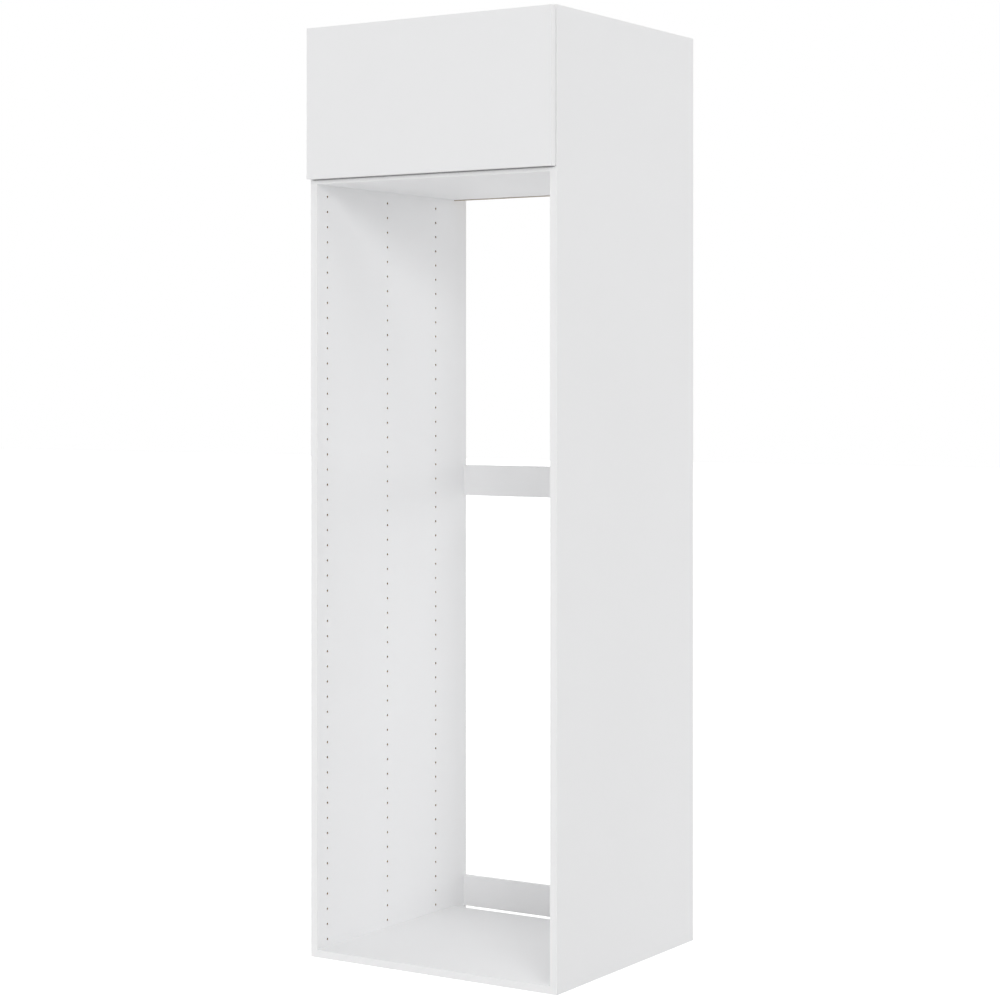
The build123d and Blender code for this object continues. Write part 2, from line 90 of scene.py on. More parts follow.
# %% The shader helpers
class Signal:
    """One output socket. Arithmetic on it adds the Math node that does it."""

    def __init__(self, finish, socket):
        self.finish = finish
        self.socket = socket

    def _math(self, operation, *values):
        return self.finish.add("ShaderNodeMath", {"operation": operation}, dict(enumerate(values)))

    def __add__(self, other):
        return self._math("ADD", self, other)

    def __radd__(self, other):
        return self._math("ADD", other, self)

    def __sub__(self, other):
        return self._math("SUBTRACT", self, other)

    def __rsub__(self, other):
        return self._math("SUBTRACT", other, self)

    def __mul__(self, other):
        return self._math("MULTIPLY", self, other)

    def __rmul__(self, other):
        return self._math("MULTIPLY", other, self)

    def above(self, level):
        """1 where the signal is greater than the level, and 0 elsewhere."""
        return self._math("GREATER_THAN", self, level)

    def at_least(self, level):
        return self._math("MAXIMUM", self, level)

    def ramp(self, low, high):
        """0 at low and below, 1 at high and above, smooth between."""
        settings = {"interpolation_type": "SMOOTHSTEP"}
        return self.finish.add("ShaderNodeMapRange", settings, {0: self, 1: low, 2: high})


class Finish:
    """One material, or the world, built from nodes."""

    def __init__(self, name, kind="materials"):
        self.material = getattr(bpy.data, kind).new(name)
        self.material.use_nodes = True
        self.nodes = self.material.node_tree.nodes
        self.links = self.material.node_tree.links
        self.nodes.clear()

    @property
    def place(self):
        return self.add("ShaderNodeTexCoord", output="Object")

    @property
    def facing(self):
        return self.add("ShaderNodeTexCoord", output="Normal")

    def add(self, kind, settings=None, inputs=None, output=0):
        """Add a node, set it up, feed its sockets, and return one of its outputs."""
        node = self.nodes.new(kind)
        for name, value in (settings or {}).items():
            if name == "stops":
                for stop, (position, colour) in zip(self._stops(node, len(value)), value):
                    stop.position = position
                    stop.color = (*colour, 1.0)
            else:
                setattr(node, name, value)
        for name, value in (inputs or {}).items():
            socket = node.inputs[name]
            if isinstance(value, Signal):
                self.links.new(value.socket, socket)
            elif isinstance(value, tuple) and len(socket.default_value) > len(value):
                socket.default_value = (*value, 1.0)
            else:
                socket.default_value = value
        return Signal(self, node.outputs[output])

    @staticmethod
    def _stops(node, count):
        while len(node.color_ramp.elements) < count:
            node.color_ramp.elements.new(0.5)
        return node.color_ramp.elements

    def stretched(self, stretch):
        """The place on the piece, squeezed or stretched along its axes."""
        return self.add("ShaderNodeMapping", inputs={"Vector": self.place, "Scale": stretch})

    def noise(self, scale, detail=2.0, roughness=0.5, stretch=None):
        place = self.stretched(stretch) if stretch else self.place
        inputs = {"Vector": place, "Scale": scale, "Detail": detail, "Roughness": roughness}
        return self.add("ShaderNodeTexNoise", inputs=inputs)

    def part_of(self, vector, axis):
        """One of the three parts of a vector, 0, 1 or 2."""
        return self.add("ShaderNodeSeparateXYZ", inputs={0: vector}, output=axis)

    def mix(self, factor, first, second):
        inputs = {0: factor, 6: first, 7: second}
        return self.add("ShaderNodeMix", {"data_type": "RGBA"}, inputs, output=2)

    def bump(self, height, depth):
        inputs = {"Height": height, "Distance": depth, "Strength": 1.0}
        return self.add("ShaderNodeBump", inputs=inputs)

    def worn_edges(self, width):
        """1 close to a sharp edge, 0 on the open face."""
        soft = self.add("ShaderNodeBevel", {"samples": 4}, {"Radius": width})
        true = self.add("ShaderNodeNewGeometry", output="Normal")
        settings = {"operation": "DOT_PRODUCT"}
        same = self.add("ShaderNodeVectorMath", settings, {0: soft, 1: true}, output="Value")
        return (1 - same).ramp(0.002, 0.25)

    def surface(self, colour, roughness, normal=None, **constants):
        """Close the material with one shader. The constants go on its own sockets."""
        inputs = {"Base Color": colour, "Roughness": roughness}
        if normal is not None:
            inputs["Normal"] = normal
        inputs.update({name.replace("_", " "): value for name, value in constants.items()})
        shader = self.add("ShaderNodeBsdfPrincipled", inputs=inputs)
        output = self.nodes.new("ShaderNodeOutputMaterial")
        self.links.new(shader.socket, output.inputs["Surface"])
        return self.material

    def seen_directly(self):
        """1 for what the camera sees itself, in a reflection or through glass, and 0 for light."""
        kinds = ("Is Camera Ray", "Is Glossy Ray", "Is Transmission Ray")
        first, second, third = (self.add("ShaderNodeLightPath", output=kind) for kind in kinds)
        return first + second + third


# %% [markdown]
# ## White melamine
#
# Melamine is printed paper, pressed hot against chipboard by a steel plate. The plate leaves a very
# fine pearl in the surface, so white melamine is not dull and not glossy either. Its colour hardly
# changes: cloudy patches of a hundredth, a few wipes that shine a little more, and edges that handling
# has turned a shade greyer.

# %% Melamine
MELAMINE_WHITE = (0.90, 0.902, 0.908)
MELAMINE_GREY = (0.85, 0.85, 0.855)
PEARL_SCALE = 1400.0
PEARL_DEPTH = 0.00002


def melamine():
    finish = Finish("white melamine")
    clouds = finish.noise(2.2, detail=3.0)
    wipes = finish.noise(5.0, detail=4.0, stretch=(1.0, 1.0, 0.25))
    pearl = finish.noise(PEARL_SCALE, detail=2.0)
    worn = finish.worn_edges(0.0012)
    grey = clouds.ramp(0.35, 0.8) * 0.22 + pearl.ramp(0.35, 0.7) * 0.10 + worn * 0.35
    colour = finish.mix(grey, MELAMINE_WHITE, MELAMINE_GREY)
    roughness = 0.5 + wipes.ramp(0.4, 0.7) * 0.08 - worn * 0.06
    return finish.surface(colour, roughness, finish.bump(pearl, PEARL_DEPTH), Specular_IOR_Level=0.15)


MELAMINE = melamine()
print("made", MELAMINE.name)

# %% [markdown]
# ## Raw chipboard
#
# Bands cover the edges that show from the front and the rear edges of the decks. The sides' rear edges,
# the ends and the inside of every bore stay raw, and there the board shows what it is: pressed wood
# chips. A cell pattern gives the chips, a fine noise gives the dust between them, and a bump gives
# their torn surface.

# %% Chipboard
CHIP_PALE = (0.56, 0.43, 0.29)
CHIP_MID = (0.43, 0.31, 0.20)
CHIP_DARK = (0.24, 0.165, 0.10)


def chipboard():
    finish = Finish("raw chipboard")
    cells = {"Vector": finish.place, "Scale": 420.0}
    coarse = finish.add("ShaderNodeTexVoronoi", inputs=cells, output="Color")
    fine = finish.noise(1500.0, detail=3.0)
    chips = finish.part_of(coarse, 0)
    stops = [(0.0, CHIP_DARK), (0.35, CHIP_MID), (1.0, CHIP_PALE)]
    body = finish.add("ShaderNodeValToRGB", {"stops": stops}, {"Fac": chips * 0.7 + fine * 0.3})
    colour = finish.mix(fine.ramp(0.55, 0.8) * 0.5, body, CHIP_DARK)
    height = chips * 0.6 + fine * 0.4
    return finish.surface(colour, 0.82 + fine * 0.12, finish.bump(height, 0.0004), Specular_IOR_Level=0.3)


CHIPBOARD = chipboard()
print("made", CHIPBOARD.name)

# %% [markdown]
# ## Edge band, hardboard and beech
#
# The band is a thin strip of plastic, glued on hot and scraped flush. Scraping leaves faint lines along
# it and makes it a touch brighter than the board. The bands close under the door get painted shade:
# they are darkened where Ambient Occlusion finds them shaded, so that gap reads as a dark line. The back
# of the top compartment is hardboard, white on the side that shows inside and raw fibre behind. The
# strip that laps below the shelf is given the raw fibre colour as well, as painted shade for the dark
# line under the shelf's rear edge. Dowels are beech, with short dark flecks.

# %% Band, hardboard, beech
BAND_WHITE = (0.92, 0.92, 0.924)
BAND_GREY = (0.86, 0.86, 0.864)
# The grey of the painted shade under the door, and how strongly it is painted.
GAP_PAINTED_SHADE = (0.16, 0.16, 0.165)
GAP_REACH = 0.012
GAP_OVERLAP = 0.001
GAP_SHADE = (0.33, 0.43)
GAP_PAINTED_SHADE_STRENGTH = 0.9
DOOR_LOW_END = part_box("door_panel")[0].z
FIBRE_PALE = (0.52, 0.455, 0.375)
FIBRE_DARK = (0.41, 0.35, 0.28)
# Below this height the back's front face keeps the raw fibre colour, as painted shade.
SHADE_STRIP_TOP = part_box("fixed_shelf")[0].z


def edge_band():
    finish = Finish("white edge band")
    scrape = finish.noise(30.0, detail=4.0, stretch=(40.0, 40.0, 0.6))
    clouds = finish.noise(6.0, detail=2.0)
    worn = finish.worn_edges(0.0008)
    grey = scrape.ramp(0.4, 0.75) * 0.15 + clouds.ramp(0.4, 0.8) * 0.1 + worn * 0.3
    colour = finish.mix(grey, BAND_WHITE, BAND_GREY)
    # Painted shade: close under the door the bands are darkened where Ambient Occlusion finds them shaded,
    # so the gap reads as a dark line.
    unshaded = finish.add("ShaderNodeAmbientOcclusion", inputs={"Distance": GAP_REACH}, output="AO")
    height = finish.part_of(finish.place, 2)
    under_door = height.above(DOOR_LOW_END - GAP_REACH) - height.above(DOOR_LOW_END + GAP_OVERLAP)
    painted_gap_shade = (1 - unshaded).ramp(*GAP_SHADE) * under_door * GAP_PAINTED_SHADE_STRENGTH
    colour = finish.mix(painted_gap_shade, colour, GAP_PAINTED_SHADE)
    return finish.surface(colour, 0.36 + scrape * 0.1, finish.bump(scrape, 0.00003), Specular_IOR_Level=0.25)


def hardboard():
    finish = Finish("faced hardboard")
    fibre = finish.noise(700.0, detail=4.0, roughness=0.7, stretch=(1.0, 1.0, 0.4))
    mesh_mark = finish.add("ShaderNodeTexVoronoi", inputs={"Vector": finish.place, "Scale": 550.0})
    raw = finish.mix(fibre.ramp(0.35, 0.7), FIBRE_PALE, FIBRE_DARK)
    white = finish.mix(fibre.ramp(0.3, 0.8) * 0.3, MELAMINE_WHITE, MELAMINE_GREY)
    facing_front = (finish.part_of(finish.facing, 1) * -1.0).above(0.5)
    # Painted shade: below the shelf's underside the front face gets the raw fibre colour, for the dark
    # shadow line under the shelf's rear edge. The rear face is raw fibre for real.
    white_film_face = facing_front * finish.part_of(finish.place, 2).above(SHADE_STRIP_TOP)
    colour = finish.mix(white_film_face, raw, white)
    roughness = 0.8 + fibre * 0.1 - white_film_face * 0.35
    height = mesh_mark * (1 - white_film_face)
    return finish.surface(colour, roughness, finish.bump(height, 0.0002), Specular_IOR_Level=0.3)


def beech():
    finish = Finish("beech dowel")
    grain = finish.noise(260.0, detail=4.0, stretch=(0.15, 1.0, 1.0))
    flecks = finish.noise(1300.0, detail=2.0, stretch=(0.25, 1.0, 1.0)).ramp(0.62, 0.7)
    colour = finish.mix(grain, (0.66, 0.48, 0.31), (0.55, 0.37, 0.22))
    colour = finish.mix(flecks * 0.6, colour, (0.32, 0.19, 0.10))
    return finish.surface(colour, 0.6 + grain * 0.1, finish.bump(grain, 0.0002))


EDGE_BAND, HARDBOARD, BEECH = edge_band(), hardboard(), beech()
print("made", EDGE_BAND.name, HARDBOARD.name, BEECH.name)

# %% [markdown]
# ## Metals and the clear buffers
#
# The rails are thin steel with a white powder coat, which sets in the oven with a soft orange peel.
# Hinges are nickel plated, screws are zinc plated and a little bluer, and the connector cams are raw
# zinc castings. A metal looks like metal when its gloss changes in fine marks, so each of them feeds a
# noise to the roughness. On the nickel it is stretched into streaks, as rolled sheet has them.

# %% Metals
RAIL_WHITE = (0.91, 0.91, 0.915)
RAIL_GREY = (0.87, 0.87, 0.875)


def powder_coat():
    finish = Finish("white powder coat")
    peel = finish.noise(520.0, detail=1.0)
    clouds = finish.noise(9.0, detail=2.0)
    worn = finish.worn_edges(0.0008)
    colour = finish.mix(clouds.ramp(0.4, 0.8) * 0.3 + worn * 0.35, RAIL_WHITE, RAIL_GREY)
    return finish.surface(colour, 0.4 + peel * 0.12, finish.bump(peel, 0.00006), Specular_IOR_Level=0.25)


def plated(name, bright, dull, streak, gloss):
    finish = Finish(name)
    lines = finish.noise(900.0, detail=3.0, stretch=streak)
    stains = finish.noise(120.0, detail=3.0)
    worn = finish.worn_edges(0.0004)
    colour = finish.mix(stains.ramp(0.4, 0.75) * 0.6, bright, dull)
    colour = finish.mix(worn * 0.5, colour, bright)
    roughness = gloss + lines * 0.16 + stains.ramp(0.5, 0.8) * 0.12
    return finish.surface(colour, roughness, finish.bump(lines, 0.00002), Metallic=1.0)


POWDER_COAT = powder_coat()
NICKEL = plated("nickel plate", (0.74, 0.725, 0.69), (0.58, 0.56, 0.52), (1.0, 0.06, 1.0), 0.2)
ZINC = plated("zinc plate", (0.70, 0.715, 0.74), (0.52, 0.54, 0.57), (1.0, 1.0, 1.0), 0.26)
CASTING = plated("zinc casting", (0.50, 0.51, 0.53), (0.36, 0.37, 0.39), (1.0, 1.0, 1.0), 0.42)


# %% Clear buffer
def soft_pad():
    finish = Finish("clear soft pad")
    haze = finish.noise(900.0, detail=2.0)
    colour = finish.mix(haze, (0.80, 0.81, 0.82), (0.70, 0.71, 0.72))
    return finish.surface(colour, 0.35 + haze * 0.15, finish.bump(haze, 0.00004))


SOFT_PAD = soft_pad()
print("made", POWDER_COAT.name, NICKEL.name, ZINC.name, CASTING.name, SOFT_PAD.name)

# %% [markdown]
# ## Each node gets its finish
#
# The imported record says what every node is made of. The table below turns each of its material slots
# into one of the finishes above, and a CAD node only ever has its material changed.

# %% Finishes by material slot
FINISHES = {
    "melamine": MELAMINE,
    "edge_band": EDGE_BAND,
    "hardboard": HARDBOARD,
    "beech": BEECH,
    "white_steel": POWDER_COAT,
    "nickel_steel": NICKEL,
    "zinc_steel": ZINC,
    "zinc_cast": CASTING,
    "buffer": SOFT_PAD,
}
slot_of = {part["node"]: part["material_slot"] for part in frame["record"]["subparts"]}
for node, piece in frame["nodes"].items():
    piece.data.materials.clear()
    piece.data.materials.append(FINISHES[slot_of[node]])
print("finished", len(slot_of), "nodes")

# %% [markdown]
# ## Bored boards
#
# The frame's boards have six-sided bores to keep them light. Up close the bores should be round, and
# their walls should be raw chipboard. Every board follows the same rule: a block, minus a cylinder at
# each bore, with a white skin on its two faces and a band on the edges that have one. That is a job for
# Geometry Nodes. The bores come in as points, each with its own radius, depth and direction, so one
# tree serves all the boards.

# %% A small helper for Geometry Nodes trees
class Tree:
    """A Geometry Nodes tree with named inputs."""

    def __init__(self, name, inputs):
        self.tree = bpy.data.node_groups.new(name, "GeometryNodeTree")
        face = self.tree.interface
        face.new_socket("Geometry", in_out="INPUT", socket_type="NodeSocketGeometry")
        for label, kind in inputs.items():
            face.new_socket(label, in_out="INPUT", socket_type=kind)
        face.new_socket("Geometry", in_out="OUTPUT", socket_type="NodeSocketGeometry")
        self.entry = self.tree.nodes.new("NodeGroupInput")
        self.exit = self.tree.nodes.new("NodeGroupOutput")

    def given(self, label):
        return self.entry.outputs[label]

    def add(self, kind, settings=None, inputs=None, output=0):
        node = self.tree.nodes.new(kind)
        for name, value in (settings or {}).items():
            setattr(node, name, value)
        for name, value in (inputs or {}).items():
            if isinstance(value, bpy.types.NodeSocket):
                self.tree.links.new(value, node.inputs[name])
            else:
                node.inputs[name].default_value = value
        return node.outputs[output]

    def read(self, label, kind="FLOAT"):
        """A named attribute of the points."""
        return self.add("GeometryNodeInputNamedAttribute", {"data_type": kind}, {"Name": label})

    def cylinder(self, sides, radius, depth):
        inputs = {"Vertices": sides, "Radius": radius, "Depth": depth}
        return self.add("GeometryNodeMeshCylinder", inputs=inputs)

    def moved(self, geometry, by):
        return self.add("GeometryNodeTransform", inputs={"Geometry": geometry, "Translation": by})

    def joined(self, *pieces):
        node = self.tree.nodes.new("GeometryNodeJoinGeometry")
        for piece in pieces:
            self.tree.links.new(piece, node.inputs[0])
        return node.outputs[0]

    def set_out(self, shape, turn, scale=(1.0, 1.0, 1.0)):
        """A real copy of the shape on every point."""
        inputs = {"Points": self.given("Geometry"), "Instance": shape, "Rotation": turn, "Scale": scale}
        copies = self.add("GeometryNodeInstanceOnPoints", inputs=inputs)
        return self.add("GeometryNodeRealizeInstances", inputs={"Geometry": copies})

    def without(self, whole, cutter):
        """The whole minus the cutter. The input for cutters that overlap appears with the solver."""
        settings = {"operation": "DIFFERENCE", "solver": "EXACT"}
        inputs = {"Mesh 1": whole, "Mesh 2": cutter, "Self Intersection": True}
        return self.add("GeometryNodeMeshBoolean", settings, inputs)

    def product(self, first, second):
        return self.add("ShaderNodeMath", {"operation": "MULTIPLY"}, {0: first, 1: second})

    def soft(self, geometry, crease=0.6):
        """Smooth shading, with every edge sharper than the crease angle left hard."""
        inputs = {"Geometry": geometry, "Shade Smooth": True}
        smooth = self.add("GeometryNodeSetShadeSmooth", {"domain": "FACE"}, inputs)
        angle = self.add("GeometryNodeInputMeshEdgeAngle")
        hard = self.add("ShaderNodeMath", {"operation": "GREATER_THAN"}, {0: angle, 1: crease})
        inputs = {"Geometry": smooth, "Selection": hard, "Shade Smooth": False}
        return self.add("GeometryNodeSetShadeSmooth", {"domain": "EDGE"}, inputs)

    def finished(self, geometry, material, **more):
        inputs = {"Geometry": geometry, "Material": material, **more}
        return self.add("GeometryNodeSetMaterial", inputs=inputs)

    def close(self, geometry):
        self.tree.links.new(geometry, self.exit.inputs["Geometry"])
        return self.tree


def grown(tree, seed_mesh, values, name):
    """Run a tree on a mesh and return its result as a plain mesh object at the origin."""
    piece = bpy.data.objects.new(name, seed_mesh)
    bpy.context.scene.collection.objects.link(piece)
    modifier = piece.modifiers.new("grow", "NODES")
    modifier.node_group = tree
    for socket in tree.interface.items_tree:
        if socket.in_out == "INPUT" and socket.name in values:
            modifier[socket.identifier] = values[socket.name]
    seen = piece.evaluated_get(bpy.context.evaluated_depsgraph_get())
    mesh = bpy.data.meshes.new_from_object(seen)
    piece.modifiers.remove(modifier)
    piece.data = mesh
    return piece


def note(mesh, label, values):
    """Write a number or a vector on each point of a mesh, where a tree can read it."""
    kind = "FLOAT" if isinstance(values[0], float) else "FLOAT_VECTOR"
    layer = mesh.attributes.new(label, kind, "POINT")
    for entry, value in zip(layer.data, values):
        setattr(entry, "value" if kind == "FLOAT" else "vector", value)


def stand_in(piece, node):
    """Let a piece stand for a CAD node, on the same body, and hide the node."""
    bodies = frame["record"]["behaviour"]["bodies"]
    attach(piece, next(name for name, nodes in bodies.items() if node in nodes))
    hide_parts(node)
    print(piece.name, "faces", len(piece.data.polygons))
    return piece


# %% The bored board tree
BORE_SIDES = 20
JUST_INSIDE = 0.4999


def bored_board_tree():
    kinds = {
        "Low corner": "NodeSocketVector",
        "High corner": "NodeSocketVector",
        "Thickness axis": "NodeSocketVector",
        "Banded axis": "NodeSocketVector",
        "Bore sides": "NodeSocketInt",
        "Skin": "NodeSocketMaterial",
        "Core": "NodeSocketMaterial",
        "Band": "NodeSocketMaterial",
    }
    tree = Tree("bored board", kinds)
    vector = "ShaderNodeVectorMath"
    low, high = tree.given("Low corner"), tree.given("High corner")
    size = tree.add(vector, {"operation": "SUBTRACT"}, {0: high, 1: low})
    total = tree.add(vector, {"operation": "ADD"}, {0: high, 1: low})
    centre = tree.add(vector, {"operation": "SCALE"}, {0: total, "Scale": 0.5})
    block = tree.add("GeometryNodeMeshCube", inputs={"Size": size})
    block = tree.moved(block, centre)

    drill = tree.cylinder(tree.given("Bore sides"), 1.0, 1.0)
    turn = {"Vector": tree.read("direction", "FLOAT_VECTOR")}
    turn = tree.add("FunctionNodeAlignRotationToVector", {"axis": "Z"}, turn)
    radius, depth = tree.read("radius"), tree.read("depth")
    scale = tree.add("ShaderNodeCombineXYZ", inputs={0: radius, 1: radius, 2: depth})
    cut = tree.without(block, tree.set_out(drill, turn, scale))

    place = tree.add("GeometryNodeInputPosition")
    offset = tree.add(vector, {"operation": "SUBTRACT"}, {0: place, 1: centre})

    def outermost(axis):
        """Which faces lie on the two outer planes that the axis points at."""
        along = tree.add(vector, {"operation": "DOT_PRODUCT"}, {0: offset, 1: axis}, output="Value")
        away = tree.add("ShaderNodeMath", {"operation": "ABSOLUTE"}, {0: along})
        across = tree.add(vector, {"operation": "DOT_PRODUCT"}, {0: size, 1: axis}, output="Value")
        limit = tree.product(across, JUST_INSIDE)
        return tree.add("ShaderNodeMath", {"operation": "GREATER_THAN"}, {0: away, 1: limit})

    board = tree.finished(cut, tree.given("Core"))
    board = tree.finished(board, tree.given("Band"), Selection=outermost(tree.given("Banded axis")))
    skin = outermost(tree.given("Thickness axis"))
    return tree.close(tree.finished(board, tree.given("Skin"), Selection=skin))


BORED_BOARD = bored_board_tree()


def bored_board(node, thickness_axis, bores, sides=BORE_SIDES, banded_axis=(0.0, 0.0, 0.0)):
    """Replace a board of the frame by one with round bores. A bore is place, direction, radius, depth."""
    low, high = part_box(node)
    seed = bpy.data.meshes.new(node + "_bores")
    seed.from_pydata([bore[0] for bore in bores], [], [])
    note(seed, "direction", [bore[1] for bore in bores])
    note(seed, "radius", [bore[2] for bore in bores])
    note(seed, "depth", [2 * bore[3] for bore in bores])
    values = {
        "Low corner": tuple(low),
        "High corner": tuple(high),
        "Thickness axis": thickness_axis,
        "Banded axis": banded_axis,
        "Bore sides": sides,
        "Skin": MELAMINE,
        "Core": CHIPBOARD,
        "Band": EDGE_BAND,
    }
    print(node, "bores", len(bores))
    return stand_in(grown(BORED_BOARD, seed, values, node + "_look"), node)


# %% [markdown]
# ## The two sides
#
# Each side carries three columns of system holes, 5 mm wide and 32 mm apart, so that shelves, hinges
# and rails can go at any height. The columns are measured from the front edge, and the rows from the
# underside. The connector bolts, the dowels and the rail screws use a few bores more.

# %% Where the separate solids of a node are
def islands(node):
    """The box of each separate solid in a CAD node, lowest corner first."""
    mesh = frame["nodes"][node].data
    owner = list(range(len(mesh.vertices)))

    def root(index):
        while owner[index] != index:
            owner[index] = owner[owner[index]]
            index = owner[index]
        return index

    same = {}
    for vertex in mesh.vertices:
        key = tuple(round(value, 6) for value in vertex.co)
        owner[root(vertex.index)] = root(same.setdefault(key, vertex.index))
    for edge in mesh.edges:
        owner[root(edge.vertices[0])] = root(edge.vertices[1])
    groups = {}
    for vertex in mesh.vertices:
        groups.setdefault(root(vertex.index), []).append(vertex.co.copy())
    boxes = []
    for points in groups.values():
        low = Vector(min(point[axis] for point in points) for axis in range(3))
        high = Vector(max(point[axis] for point in points) for axis in range(3))
        boxes.append((low, high))
    return sorted(boxes, key=lambda box: tuple(box[0]))


def middle_of(box):
    return (box[0] + box[1]) / 2


screw_boxes = islands("rail_screws")
print("rail screws", len(screw_boxes))

# %% The pattern of the system holes
PITCH = 0.032
HOLE_RADIUS = 0.0025
HOLE_DEPTH = 0.012
FRONT_COLUMN = 0.037
COLUMN_STEPS = (0, 7, 13)
BOARD = 0.016
DECKS = ("bottom_panel", "fixed_shelf", "top_panel")
DOWEL_RADIUS = 0.004
DOWEL_IN_SIDE = 0.0105
PILOT_RADIUS = 0.0016
PILOT_DEPTH = 0.012

carcass_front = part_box("left_side_band")[0].y
columns = [carcass_front + FRONT_COLUMN + step * PITCH for step in COLUMN_STEPS]
shelf_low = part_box("fixed_shelf")[0].z
shelf_row = round((shelf_low + BOARD / 2) / PITCH)
top_row = round(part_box("upper_hinge_plate")[1].z / PITCH)
hinge_rows = (shelf_row + 1, shelf_row + 2, top_row - 1, top_row)
deck_middles = [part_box(deck)[0].z + BOARD / 2 for deck in DECKS]

print("rows", shelf_row - 1, "hinge rows", hinge_rows, "columns", [round(y, 3) for y in columns])

# %% Drill both sides
for node, hand in (("left_side_panel", -1), ("right_side_panel", 1)):
    face = hand * abs(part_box("bottom_panel")[1].x)
    inward = (-hand, 0.0, 0.0)
    bores = []
    for column in columns:
        for row in range(1, shelf_row):
            bores.append(((face, column, row * PITCH), inward, HOLE_RADIUS, HOLE_DEPTH))
    for row in hinge_rows:
        bores.append(((face, columns[0], row * PITCH), inward, HOLE_RADIUS, HOLE_DEPTH))
    for middle in deck_middles:
        for column in (columns[0], columns[2]):
            bores.append(((face, column, middle), inward, HOLE_RADIUS, HOLE_DEPTH))
        bores.append(((face, columns[1], middle), inward, DOWEL_RADIUS, DOWEL_IN_SIDE))
    for middle in map(middle_of, screw_boxes):
        if hand * middle.x > 0:
            bores.append(((face, middle.y, middle.z), inward, PILOT_RADIUS, PILOT_DEPTH))
    bored_board(node, (1.0, 0.0, 0.0), bores)

# %% [markdown]
# ## The three decks
#
# The bottom, the shelf and the top hang between the sides on eccentric connectors. Each deck has a
# round pocket for the cam near every corner, met by a long bore from the end for the bolt, and a dowel
# bore between them. The bottom has four wide sockets for screw-on legs underneath. Where the cams sit
# is read from the frame, so the pockets are sure to meet them. The rear edges of the decks get a band
# too, because warm, damp air rises behind a fridge.

# %% Drill the decks
CAM_POCKET = (0.0075, 0.0125)
BOLT_BORE_RADIUS = 0.0038
DOWEL_IN_DECK = 0.0205
LEG_SOCKET = (0.005, 0.012)
LEG_FROM_SIDE = 0.052
LEG_FROM_FRONT = 0.069
LEG_FROM_REAR = 0.099

cam_boxes = islands("cam_locks")
back_screw_boxes = islands("back_screws")
half_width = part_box("right_side_band")[1].x
for node in DECKS:
    low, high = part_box(node)
    middle = (low.z + high.z) / 2
    bores = []
    for hand in (-1.0, 1.0):
        inward = (-hand, 0.0, 0.0)
        bores.append(((hand * high.x, columns[1], middle), inward, DOWEL_RADIUS, DOWEL_IN_DECK))
    for box in cam_boxes:
        centre = middle_of(box)
        if low.z < centre.z < high.z:
            facing = 1.0 if centre.z > middle else -1.0
            mouth = high.z if facing > 0 else low.z
            hand = math.copysign(1.0, centre.x)
            bores.append(((centre.x, centre.y, mouth), (0.0, 0.0, -facing), *CAM_POCKET))
            run = high.x - abs(centre.x)
            bores.append(((hand * high.x, centre.y, middle), (-hand, 0.0, 0.0), BOLT_BORE_RADIUS, run))
    for box in back_screw_boxes:
        centre = middle_of(box)
        if low.z < centre.z < high.z:
            bores.append(((centre.x, high.y, middle), (0.0, -1.0, 0.0), PILOT_RADIUS, PILOT_DEPTH))
    if node == "bottom_panel":
        for x in (LEG_FROM_SIDE - half_width, half_width - LEG_FROM_SIDE):
            for y in (carcass_front + LEG_FROM_FRONT, high.y - LEG_FROM_REAR):
                bores.append(((x, y, low.z), (0.0, 0.0, 1.0), *LEG_SOCKET))
    bored_board(node, (0.0, 0.0, 1.0), bores, banded_axis=(0.0, 1.0, 0.0))

# %% [markdown]
# ## The door
#
# The door is a plain slab, banded on all four edges, with no handle. Only its inner face is worked: two
# wide blind seats for the hinge cups, each with two pilot bores beside it.

# %% Drill the door
CUP_RADIUS = 0.0175
CUP_SEAT = (0.0176, 0.0116)
CUP_PILOT = (0.0017, 0.010)
SEAT_SIDES = 64

bores = []
inner_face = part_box("door_panel")[1].y
for which in ("lower", "upper"):
    low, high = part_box(which + "_hinge_cup")
    bores.append(((low.x + CUP_RADIUS, inner_face, (low.z + high.z) / 2), (0.0, -1.0, 0.0), *CUP_SEAT))
    for box in islands(which + "_cup_screws"):
        centre = middle_of(box)
        bores.append(((centre.x, inner_face, centre.z), (0.0, -1.0, 0.0), *CUP_PILOT))
bored_board("door_panel", (0.0, 1.0, 0.0), bores, sides=SEAT_SIDES)

# %% [markdown]
# ## Screws
#
# Every screw here has a low round head with a cross recess. A flattened ball, cut off at the seat, gives
# the head, and two crossed bars cut the recess. The tree makes one screw from its sizes and sets it on
# every point, turned to point out of its board.

# %% The screw tree
# The recess and the block that cuts off the lower half are given in parts of the head's own sizes.
HEAD_SIDES = 24
RECESS_LENGTH = 1.1
RECESS_WIDTH = 0.28
RECESS_DEPTH = 1.2
CUT_OFF = 4.0


